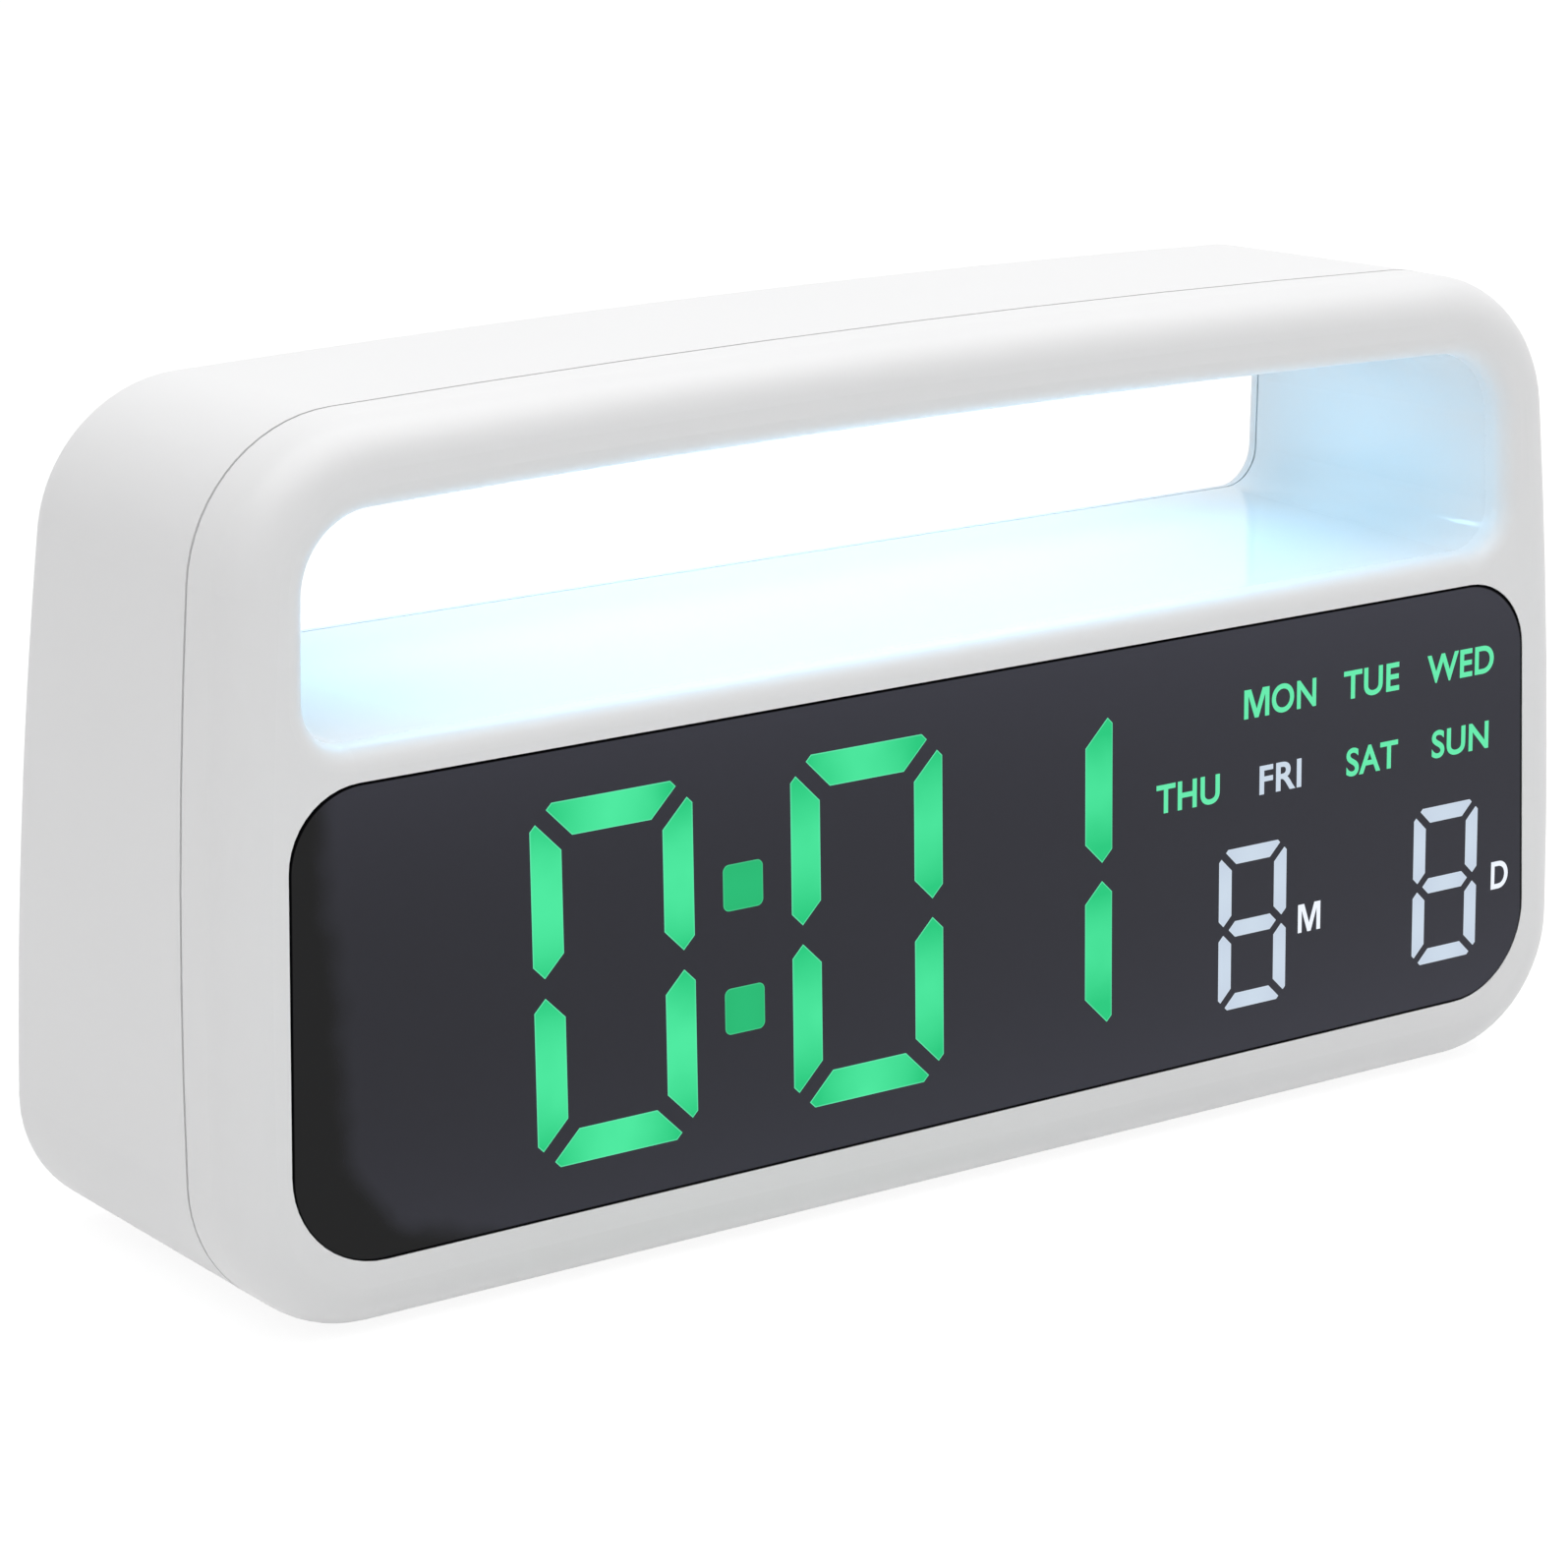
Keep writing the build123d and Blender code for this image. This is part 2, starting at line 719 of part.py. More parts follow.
def make_backup_cells():
    """Two small cells side by side, lying opposite ways."""
    cells = []
    for side in (-1, 1):
        across = side * (cell_length + cell_nub_length) / 2
        height = well_centre_height + side * cell_rise
        start = Plane(
            origin=BACK.from_local_coords((across, height, cell_offset)), z_dir=(side, 0, 0)
        )
        body = extrude(start * Circle(cell_radius), cell_length)
        nub = extrude(start.offset(cell_length) * Circle(cell_nub_radius), cell_nub_length)
        cells.append(body + nub)
    return cells


def make_battery_contacts():
    plates = []
    for end in (-1, 1):
        for side in (-1, 1):
            middle = end * (well_length - contact_thickness) / 2
            outline = Pos(middle, well_centre_height + side * cell_rise)
            outline *= Rectangle(contact_thickness, contact_size)
            plates.append(extrude(BACK.offset(cell_offset - contact_size / 2) * outline, contact_size))
    return plates


def make_rubber_feet():
    return [
        extrude(Pos(x, depth, -foot_proud) * Circle(foot_radius), foot_thickness)
        for x, depth in foot_places
    ]


def make_case_screws():
    seat = case_joint_depth + well_floor_thickness
    return [
        rod(x, height, case_head_radius, seat, seat + case_head_height)
        + rod(x, height, case_shank_radius, seat - case_shank_length, seat)
        for x, height in case_screw_places
    ]


def board_screw(x, height, seat, way):
    """Small screw whose head sits on a face and whose shank runs one way along the depth."""
    head = (seat, seat - way * board_head_height)
    shank = (seat, seat + way * board_shank_length)
    return rod(x, height, board_head_radius, min(head), max(head)) + rod(
        x, height, board_shank_radius, min(shank), max(shank)
    )


def make_board_screws():
    screws = [board_screw(x, height, ear_back, -1) for x, height in ear_places]
    screws += [board_screw(x, height, display_board_back, -1) for x, height in box_screw_places]
    screws += [board_screw(x, height, main_board_depth, 1) for x, height in main_post_places]
    return screws


def make_board_header():
    return bar(
        colon_x, main_board_middle, header_width, header_thickness, display_board_back, main_board_depth
    )


def make_diffuser(tunnel_core, tunnel_skin):
    """Clear strip that fills the slot in the handle's underside and follows its curve."""
    slot = handle_block(0, diffuser_length - 2 * fit_clearance, diffuser_width - 2 * fit_clearance)
    return (tunnel_skin - tunnel_core) & slot


def make_strip_board():
    outline = Pos(0, diffuser_depth, strip_board_height) * Rectangle(strip_board_length, strip_board_width)
    return extrude(outline, board_thickness)


def make_strip_leds():
    lamps = []
    for index in range(strip_lamp_count):
        x = (index - (strip_lamp_count - 1) / 2) * strip_lamp_pitch
        place = Pos(x, diffuser_depth, strip_board_height)
        lamps.append(extrude(place * Rectangle(strip_lamp_length, strip_lamp_width), -strip_lamp_height))
    return lamps


def make_strip_lead():
    """Two-core lead from the main board, up the right pillar and along to the strip board."""
    depth = main_board_depth - lead_radius
    end_height = strip_board_height + board_thickness + lead_radius
    path = FilletPolyline(
        (lead_start_x, depth, main_board_middle),
        (lead_pillar_x, depth, main_board_middle),
        (lead_pillar_x, depth, end_height),
        (lead_end_x, depth, end_height),
        radius=lead_bend_radius,
    )
    start = Plane(origin=path @ 0, z_dir=path % 0)
    return sweep(start * Circle(lead_radius), path=path)


def make_parts():
    """Every piece by its node name, in the drawing's place."""
    tunnel_core = tunnel_solid(0)
    tunnel_skin = tunnel_solid(sleeve_wall)
    parts = {
        "front_shell": make_front_shell(tunnel_core, tunnel_skin),
        "rear_shell": make_rear_shell(tunnel_core),
        "display_panel": make_display_panel(),
        "unlit_segments": make_segments(unlit_faces),
        "light_box": make_light_box(),
        "display_board": make_display_board(),
        "display_leds": make_display_leds(),
        "main_board": make_main_board(),
        "tact_switches": make_tact_switches(),
        "board_header": make_board_header(),
        "power_jack": make_power_jack(),
        "buzzer": make_buzzer(),
        "battery_door": make_battery_door(),
        "backup_cells": make_backup_cells(),
        "battery_contacts": make_battery_contacts(),
        "rubber_feet": make_rubber_feet(),
        "case_screws": make_case_screws(),
        "board_screws": make_board_screws(),
        "night_light_diffuser": make_diffuser(tunnel_core, tunnel_skin),
        "night_light_board": make_strip_board(),
        "night_light_leds": make_strip_leds(),
        "night_light_lead": make_strip_lead(),
    }
    for node, faces in lit_faces.items():
        parts[node] = make_segments(faces)
    for node, (x, height) in zip(button_names, button_places):
        parts[node] = make_button(x, height)
    return parts


def main():
    parts = make_parts()
    shells = [parts["front_shell"].bounding_box(), parts["rear_shell"].bounding_box()]
    middle_depth = (shells[0].min.Y + shells[1].max.Y) / 2
    place = Pos(0, -middle_depth, foot_proud)
    os.makedirs("parts", exist_ok=True)
    for node, shape in parts.items():
        pieces = shape if isinstance(shape, list) else [shape]
        solids = [place * solid for piece in pieces for solid in piece.solids()]
        export_step(Compound(solids), f"parts/{node}.step")
    print(f"{len(parts)} nodes, display face at y = {-middle_depth:.3f}, base at z = {foot_proud:.3f}")


main()
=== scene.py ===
import math

import bmesh
import bpy
from mathutils import Matrix, Vector


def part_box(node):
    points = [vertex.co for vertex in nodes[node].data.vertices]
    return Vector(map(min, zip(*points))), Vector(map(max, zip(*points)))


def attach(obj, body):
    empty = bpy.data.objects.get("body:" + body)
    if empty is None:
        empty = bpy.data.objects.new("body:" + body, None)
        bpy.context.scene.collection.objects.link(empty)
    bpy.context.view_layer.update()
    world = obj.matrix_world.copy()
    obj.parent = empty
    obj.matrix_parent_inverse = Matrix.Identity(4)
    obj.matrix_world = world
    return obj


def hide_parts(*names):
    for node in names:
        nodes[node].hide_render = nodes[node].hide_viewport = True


# A white calendar alarm clock: satin shell, glossy lit tunnel under the handle, black display.
# Lengths are in metres; X runs to the viewer's right, Y to the back and Z up.
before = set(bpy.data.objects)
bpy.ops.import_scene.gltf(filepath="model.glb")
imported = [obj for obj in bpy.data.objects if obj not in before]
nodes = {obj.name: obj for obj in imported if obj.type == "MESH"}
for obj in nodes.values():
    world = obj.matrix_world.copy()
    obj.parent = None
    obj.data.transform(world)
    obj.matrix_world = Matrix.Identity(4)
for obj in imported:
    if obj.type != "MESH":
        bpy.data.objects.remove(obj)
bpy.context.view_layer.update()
BODY = "clock_body"
lens_low, lens_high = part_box("display_panel")
strip_low, strip_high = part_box("night_light_diffuser")

# Camera, as in the photograph; its depth counts from the display face
camera_place = (-0.32718, -0.43576, 0.19139)
camera_heading = 34.77
camera_pitch = -14.54
camera_roll = -0.80
camera_lens = 111.71
camera_sensor = 36.0

# Light of the studio
sky_colour = (1, 1, 1, 1)
sky_shown_level = 1.0
sky_low_level = 0.10
sky_high_level = 0.72
softbox_colour = (1, 1, 1)
softbox_width = 1.8
softbox_depth = 1.2
softbox_height = 1.05
softbox_forward = 0.24
softbox_power = 10.2
floor_size = 12.0
floor_colour = (0.98, 0.98, 0.98, 1)
floor_glow = 0.90
floor_shown_colour = (0.20, 0.20, 0.20, 1)

# Night light in the handle, and its frosted strip
night_colour = (0.29, 0.70, 1.0)
night_power = 0.028
night_lamp_count = 12
night_lamp_drop = 0.0006
night_lamp_forward = 0.012
night_lamp_depth = 0.024
strip_base = (0.8, 0.85, 0.9, 1)
strip_between_lamps = (0.42, 0.72, 0.95, 1)
strip_under_lamps = (0.62, 0.88, 1.0, 1)
strip_rough = 0.35
strip_glow = 4.0

# Grain of a moulded wall and the slow drift of its tone; the noise mostly stays between low and high
grain_size = 0.0003
grain_detail = 3.0
drift_size = 0.02
drift_detail = 2.0
noise_roughness = 0.55
noise_low = 0.3
noise_high = 0.7

# Smears left by wiping a polished face
smear_turn = (0.3, 0.5, 0.2)
smear_stretch = (1.0, 1.0, 3.0)
smear_detail = 5.0
smear_roughness = 0.6
smear_low = 0.45
smear_high = 0.75

# Satin white shell
shell_light = (0.832, 0.832, 0.836, 1)
shell_dark = (0.808, 0.808, 0.813, 1)
shell_grain_size = 0.00028
shell_drift_size = 0.04
shell_rough = (0.36, 0.46)
shell_bump = 0.10
shell_grain_depth = 0.00003

# Tunnel under the handle, whose walls are polished behind its front rim
tunnel_half_width = 0.0865
tunnel_low = 0.060
tunnel_high = 0.0945
tunnel_rim_depth = 0.0025
tunnel_rim_fade = 0.003
tunnel_smear_size = 0.02
tunnel_rough = (0.04, 0.09)

# Lens, whose sides lean inwards, and its black edge, a painted shadow of the gap to the bezel, which hardly
# shines
lens_black = (0.001, 0.001, 0.0015, 1)
lens_side_draw = 0.0017
lens_base_corner = 0.0112
lens_top_corner = 0.0089
gap_shadow_width = 0.00028
gap_shadow_fade = 0.00010
gap_shadow_specular = 0.03
lens_specular = 0.5
lens_ior = 1.30
lens_smear_size = 0.03
lens_rough = (0.03, 0.07)

# Painted reflection: a grey sheen over the black lens, with a rounded lower left corner where it fades out
painted_reflection_grey = (0.0345, 0.0350, 0.0500, 1)
painted_reflection_corner = 0.020
painted_reflection_inset = 0.0078
painted_reflection_fade = 0.0040
painted_reflection_base_slope = 0.26
painted_reflection_wander = 0.0012
painted_reflection_drift_size = 0.012
painted_reflection_tone_left = 0.55
painted_reflection_tone_right = 0.84
painted_reflection_tone_lift = 0.35
painted_reflection_lift_power = 2.5

# Lit faces of the display; from near to far along X they fall off towards the colour of their ends
film_proud = 0.00003
film_rim = 0.00016
lit_near = -0.050
lit_far = 0.020
lit_falloff = 0.30
lit_span_power = 1.6
lit_drift_size = 0.009
lit_noise_low = 0.35
lit_noise_high = 0.65
lit_drift = 0.12
lit_base = (0.003, 0.003, 0.003, 1)
lit_rough = 0.05
lit_glow = 1.0
front_normal_limit = -0.9
merge_distance = 0.000002

# Words of the display: text, middle across, middle height and width
word_height = 0.0036
word_weight = 0.020
word_spacing = 1.05
word_thickness = 0.00002
green_words = (
    ("ON", 0.0508, 0.0528, 0.00705),
    ("TUE", 0.0633, 0.0528, 0.00903),
    ("WED", 0.0780, 0.0528, 0.01111),
    ("THU", 0.0343, 0.0431, 0.00980),
    ("SAT", 0.0636, 0.0430, 0.00842),
    ("SUN", 0.0782, 0.0431, 0.00950),
)
pale_words = (("FRI", 0.0488, 0.0430, 0.00665),)
white_words = (("D", 0.0854, 0.0244, 0.00286),)

# Letter M, whose middle comes down to the base line: name of the piece, middle across, middle height and
# width, then shares of the box that it fills
green_m = ("letter_m_week", 0.0449, 0.0528, 0.00395)
white_m = ("letter_m_month", 0.0537, 0.0244, 0.00360)
m_stem_share = 0.165
m_stem_rise_share = 0.79
m_shoulder_share = 0.27
m_notch_share = 0.30
m_point_share = 0.15

# Power inlet, with a bright pin on its axis
inlet_drift_size = 0.01
inlet_rough = 0.45
inlet_bump = 0.1
inlet_grain_depth = 0.00003
pin_metal = (0.62, 0.60, 0.55, 1)
pin_radius = 0.00115
pin_rough = 0.25

# Screws in the back, with a cross recess
screw_head_radius = 0.0028
screw_head_height = 0.002
screw_shank_radius = 0.00145
screw_recess_length = 0.0032
screw_recess_width = 0.0008
screw_recess_depth = 0.0011
screw_sides = 40

# Colours of the lit faces: over the lamp, at the ends and at the rim
letter_green = (0.118, 0.82, 0.405, 1)
letter_white = (0.87, 0.92, 1.0, 1)
lit_looks = {
    "lit_green": {
        "core": (0.057, 0.805, 0.335, 1), "ends": (0.004, 0.575, 0.195, 1), "rim": (0.14, 0.84, 0.46, 1),
    },
    "lit_colon": {
        "core": (0.004, 0.49, 0.165, 1), "ends": (0.003, 0.47, 0.155, 1), "rim": (0.06, 0.60, 0.27, 1),
    },
    "lit_pale": {
        "core": (0.60, 0.70, 0.81, 1), "ends": (0.56, 0.65, 0.77, 1), "rim": (0.62, 0.71, 0.81, 1),
    },
    "word_green": {"core": letter_green, "ends": letter_green, "rim": letter_green},
    "word_white": {"core": letter_white, "ends": letter_white, "rim": letter_white},
}

# Plain mouldings: two tones, roughness and, where it differs, the grain
moulding_bump = 0.12
moulding_grain_depth = 0.00004
moulding_rough_spread = 0.05
black_light = (0.025, 0.025, 0.026, 1)
black_dark = (0.014, 0.014, 0.015, 1)
moulding_looks = {
    "button_white": {
        "light": (0.76, 0.76, 0.77, 1), "dark": (0.73, 0.73, 0.74, 1), "rough": 0.38, "grain": 0.0002,
    },
    "inner_white": {"light": (0.80, 0.80, 0.78, 1), "dark": (0.76, 0.76, 0.74, 1), "rough": 0.55},
    "lamp_resin": {
        "light": (0.88, 0.84, 0.55, 1), "dark": (0.82, 0.76, 0.45, 1), "rough": 0.2, "bump": 0.05,
    },
    "black_moulding": {"light": black_light, "dark": black_dark, "rough": 0.5},
    "lead_jacket": {"light": (0.74, 0.74, 0.73, 1), "dark": (0.68, 0.68, 0.67, 1), "rough": 0.5},
}

# Specked finishes: ground, specks, roughness, size of the specks and their share of the face
speck_bump = 0.1
speck_depth = 0.00003
speck_rough_spread = 0.06
specked_looks = {
    "board_green": {
        "ground": (0.020, 0.16, 0.065, 1), "speck": (0.030, 0.21, 0.085, 1), "rough": 0.35,
        "size": 0.0012, "share": 0.4,
    },
    "cell_wrap": {
        "ground": (0.07, 0.09, 0.14, 1), "speck": (0.09, 0.11, 0.17, 1), "rough": 0.32,
        "size": 0.0008, "share": 0.3, "metallic": 0.4,
    },
    "plated_steel": {
        "ground": (0.62, 0.61, 0.58, 1), "speck": (0.55, 0.54, 0.52, 1), "rough": 0.3,
        "size": 0.0005, "share": 0.35, "metallic": 1.0,
    },
    "foot_rubber": {
        "ground": (0.42, 0.42, 0.43, 1), "speck": (0.36, 0.36, 0.37, 1), "rough": 0.75,
        "size": 0.0003, "share": 0.4, "bump": 0.3,
    },
}

# Finish of each carried-over piece
node_finishes = {
    "front_shell": "front_white",
    "rear_shell": "rear_white",
    "battery_door": "rear_white",
    "display_panel": "black_lens",
    "unlit_segments": "black_lens",
    "hours_segments": "lit_green",
    "minutes_tens_segments": "lit_green",
    "minutes_units_segments": "lit_green",
    "colon_dots": "lit_colon",
    "month_segments": "lit_pale",
    "day_segments": "lit_pale",
    "night_light_diffuser": "frosted_strip",
    "light_box": "inner_white",
    "display_board": "board_green",
    "main_board": "board_green",
    "night_light_board": "board_green",
    "display_leds": "lamp_resin",
    "night_light_leds": "lamp_resin",
    "tact_switches": "black_moulding",
    "board_header": "black_moulding",
    "buzzer": "black_moulding",
    "power_jack": "inlet_black",
    "backup_cells": "cell_wrap",
    "battery_contacts": "plated_steel",
    "case_screws": "plated_steel",
    "board_screws": "plated_steel",
    "rubber_feet": "foot_rubber",
    "night_light_lead": "lead_jacket",
    "set_button": "button_white",
    "up_button": "button_white",
    "down_button": "button_white",
    "alarm_button": "button_white",
    "light_button": "button_white",
}


def set_inputs(tree, node, inputs):
    """Sets or links each named input of a node."""
    for name, value in inputs.items():
        if isinstance(value, bpy.types.NodeSocket):
            tree.links.new(value, node.inputs[name])
        else:
            node.inputs[name].default_value = value


def add_node(tree, kind, inputs=None, **settings):
    """Adds a node, sets its properties, then sets or links its inputs."""
    made = tree.nodes.new(kind)
    for name, value in settings.items():
        setattr(made, name, value)
    set_inputs(tree, made, inputs or {})
    return made


def maths(tree, operation, first, second=0.0):
    return add_node(tree, "ShaderNodeMath", {0: first, 1: second}, operation=operation).outputs[0]


def mix_value(tree, factor, first, second):
    """Blend of two values by a mask."""
    return add_node(tree, "ShaderNodeMix", {0: factor, 2: first, 3: second}, data_type="FLOAT").outputs[0]


def mix_colour(tree, factor, first, second, clamp=True):
    """Blend of two colours by a mask, which may run past its ends where it isn't clamped."""
    inputs = {0: factor, 6: first, 7: second}
    return add_node(tree, "ShaderNodeMix", inputs, data_type="RGBA", clamp_factor=clamp).outputs[2]


def ranged(tree, value, low, high, to_low, to_high, smooth=False):
    """Value carried from one range to another, held at its ends."""
    kind = "SMOOTHSTEP" if smooth else "LINEAR"
    inputs = {"Value": value, "From Min": low, "From Max": high, "To Min": to_low, "To Max": to_high}
    return add_node(tree, "ShaderNodeMapRange", inputs, interpolation_type=kind).outputs["Result"]


def place_in(tree, kind="Object"):
    return add_node(tree, "ShaderNodeTexCoord").outputs[kind]


def axes_in(tree, kind="Object"):
    """The three coordinates as separate values."""
    return add_node(tree, "ShaderNodeSeparateXYZ", {"Vector": place_in(tree, kind)}).outputs


def new_group(name, inputs, outputs):
    """Shader node group with named float inputs and outputs, and its two end nodes."""
    group = bpy.data.node_groups.new(name, "ShaderNodeTree")
    for in_out, labels in (("INPUT", inputs), ("OUTPUT", outputs)):
        for label in labels:
            group.interface.new_socket(name=label, in_out=in_out, socket_type="NodeSocketFloat")
    return group, group.nodes.new("NodeGroupInput"), group.nodes.new("NodeGroupOutput")


def make_moulded_grain():
    """Fine spark-eroded grain of a moulded wall, and the slow drift of its tone."""
    group, start, end = new_group("moulded_grain", ("Grain Size", "Drift Size"), ("Height", "Drift"))
    place = place_in(group)
    patterns = (("Height", "Grain Size", grain_detail), ("Drift", "Drift Size", drift_detail))
    for output, size, detail in patterns:
        scale = maths(group, "DIVIDE", 1.0, start.outputs[size])
        inputs = {"Vector": place, "Scale": scale, "Detail": detail, "Roughness": noise_roughness}
        noise = add_node(group, "ShaderNodeTexNoise", inputs)
        group.links.new(noise.outputs["Fac"], end.inputs[output])
    return group


def make_handling_marks():
    """Faint smears left by wiping a polished face."""
    group, start, end = new_group("handling_marks", ("Smear Size",), ("Smear",))
    place = {"Vector": place_in(group), "Rotation": smear_turn, "Scale": smear_stretch}
    stretched = add_node(group, "ShaderNodeMapping", place).outputs["Vector"]
    scale = maths(group, "DIVIDE", 1.0, start.outputs["Smear Size"])
    inputs = {"Vector": stretched, "Scale": scale, "Detail": smear_detail, "Roughness": smear_roughness}
    noise = add_node(group, "ShaderNodeTexNoise", inputs).outputs["Fac"]
    smear = ranged(group, noise, smear_low, smear_high, 0.0, 1.0, smooth=True)
    group.links.new(smear, end.inputs["Smear"])
    return group


def make_speckle():
    """Small specks, as in rubber, board lacquer or plated metal."""
    group, start, end = new_group("speckle", ("Speck Size", "Share"), ("Speck", "Height"))
    scale = maths(group, "DIVIDE", 1.0, start.outputs["Speck Size"])
    cells = add_node(group, "ShaderNodeTexVoronoi", {"Vector": place_in(group), "Scale": scale})
    tone = add_node(group, "ShaderNodeSeparateColor", {"Color": cells.outputs["Color"]}).outputs[0]
    group.links.new(maths(group, "LESS_THAN", tone, start.outputs["Share"]), end.inputs["Speck"])
    group.links.new(cells.outputs["Distance"], end.inputs["Height"])
    return group


moulded_grain = make_moulded_grain()
handling_marks = make_handling_marks()
speckle = make_speckle()


def new_finish(name):
    """Material with one Principled shader."""
    finish = bpy.data.materials.new(name)
    finish.use_nodes = True
    return finish, finish.node_tree, finish.node_tree.nodes["Principled BSDF"]


def place_group(tree, group, values):
    return add_node(tree, "ShaderNodeGroup", values, node_tree=group).outputs


def place_grain(tree, grain=grain_size, drift=drift_size):
    """Grain of a moulded wall, with its own sizes where they differ."""
    return place_group(tree, moulded_grain, {"Grain Size": grain, "Drift Size": drift})


def place_smear(tree, size):
    return place_group(tree, handling_marks, {"Smear Size": size})["Smear"]


def bump_normal(tree, height, strength, depth):
    """Normal of a surface that a height pattern roughens."""
    inputs = {"Height": height, "Strength": strength, "Distance": depth}
    return add_node(tree, "ShaderNodeBump", inputs).outputs["Normal"]


def tunnel_mask(tree):
    """One on the walls of the tunnel, with a soft start behind its front rim, and zero elsewhere."""
    axes = axes_in(tree)
    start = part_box("front_shell")[0].y + tunnel_rim_depth
    inside = ranged(tree, axes["Y"], start, start + tunnel_rim_fade, 0.0, 1.0, smooth=True)
    limits = (
        maths(tree, "LESS_THAN", maths(tree, "ABSOLUTE", axes["X"]), tunnel_half_width),
        maths(tree, "LESS_THAN", axes["Z"], tunnel_high),
        maths(tree, "GREATER_THAN", axes["Z"], tunnel_low),
    )
    for within in limits:
        inside = maths(tree, "MULTIPLY", inside, within)
    return inside


def shell_finish(name, has_tunnel):
    """Satin white moulding, polished on the walls of the tunnel where the shell has one."""
    finish, tree, shader = new_finish(name)
    grain = place_grain(tree, shell_grain_size, shell_drift_size)
    height = grain["Height"]
    roughness = ranged(tree, height, noise_low, noise_high, *shell_rough)
    if has_tunnel:
        inside = tunnel_mask(tree)
        smear = place_smear(tree, tunnel_smear_size)
        roughness = mix_value(tree, inside, roughness, ranged(tree, smear, 0.0, 1.0, *tunnel_rough))
        height = maths(tree, "MULTIPLY", height, maths(tree, "SUBTRACT", 1.0, inside))
    set_inputs(tree, shader, {
        "Base Color": mix_colour(tree, grain["Drift"], shell_dark, shell_light),
        "Roughness": roughness,
        "Normal": bump_normal(tree, height, shell_bump, shell_grain_depth),
    })
    return finish


def rounded_depth(tree, radius, first, second):
    """Distance in from two edges that meet in a rounded corner."""
    short = [maths(tree, "MAXIMUM", maths(tree, "SUBTRACT", radius, edge), 0.0) for edge in (first, second)]
    squares = [maths(tree, "POWER", value, 2.0) for value in short]
    return maths(tree, "SUBTRACT", radius, maths(tree, "SQRT", maths(tree, "ADD", *squares)))


def painted_reflection_mask(tree, beside, above):
    """One where the painted reflection shows; it fades out along an uneven line at the lower left."""
    drift = place_grain(tree, drift=painted_reflection_drift_size)["Drift"]
    wander = ranged(tree, drift, noise_low, noise_high, -painted_reflection_wander, painted_reflection_wander)
    risen = maths(tree, "ADD", above, maths(tree, "MULTIPLY", beside, painted_reflection_base_slope))
    reach = [maths(tree, "ADD", value, wander) for value in (beside, risen)]
    depth = rounded_depth(tree, painted_reflection_corner, *reach)
    return ranged(tree, depth, painted_reflection_inset - painted_reflection_fade, painted_reflection_inset, 0.0, 1.0, smooth=True)


def painted_reflection_tone(tree, across, above):
    """Strength of the painted reflection, which rises from left to right and towards the lens's top and
    base.
    """
    half_height = (lens_high.z - lens_low.z) / 2
    from_middle = maths(tree, "SUBTRACT", maths(tree, "DIVIDE", above, half_height), 1.0)
    rise = maths(tree, "POWER", maths(tree, "ABSOLUTE", from_middle), painted_reflection_lift_power)
    tone = ranged(tree, across, lens_low.x, lens_high.x, painted_reflection_tone_left, painted_reflection_tone_right)
    return maths(tree, "ADD", tone, maths(tree, "MULTIPLY", rise, painted_reflection_tone_lift))


def painted_gap_shadow_mask(tree, across, above, below):
    """Zero on the black band of painted shadow along the lens's leaning sides and round its corners, and
    one inside it.
    """
    lean = lens_side_draw / (lens_high.z - lens_low.z)
    half_base = (lens_high.x - lens_low.x) / 2 + lean * lens_base_corner
    room = maths(tree, "SUBTRACT", half_base, maths(tree, "ABSOLUTE", across))
    room = maths(tree, "SUBTRACT", room, maths(tree, "MULTIPLY", above, lean))
    base_depth = rounded_depth(tree, lens_base_corner, above, room)
    top_depth = rounded_depth(tree, lens_top_corner, below, room)
    depth = maths(tree, "MINIMUM", base_depth, top_depth)
    return ranged(tree, depth, gap_shadow_width - gap_shadow_fade, gap_shadow_width, 0.0, 1.0)


def lens_finish(name):
    """Polished black lens with a painted grey reflection on it and a black edge of painted shadow."""
    finish, tree, shader = new_finish(name)
    axes = axes_in(tree)
    beside = maths(tree, "SUBTRACT", axes["X"], lens_low.x)
    above = maths(tree, "SUBTRACT", axes["Z"], lens_low.z)
    below = maths(tree, "SUBTRACT", lens_high.z, axes["Z"])
    # Painted reflection: a grey sheen mixed into the black lens, fading out towards the lower left
    reflection_strength = maths(tree, "MULTIPLY", painted_reflection_mask(tree, beside, above), painted_reflection_tone(tree, axes["X"], above))
    grey = mix_colour(tree, reflection_strength, lens_black, painted_reflection_grey, clamp=False)
    # Painted shadow: a black band round the lens's edge, where the gap to the bezel is
    inside = painted_gap_shadow_mask(tree, axes["X"], above, below)
    smear = place_smear(tree, lens_smear_size)
    set_inputs(tree, shader, {
        "Base Color": mix_colour(tree, inside, lens_black, grey),
        "Specular IOR Level": ranged(tree, inside, 0.0, 1.0, gap_shadow_specular, lens_specular),
        "Roughness": ranged(tree, smear, 0.0, 1.0, *lens_rough),
        "IOR": lens_ior,
    })
    return finish


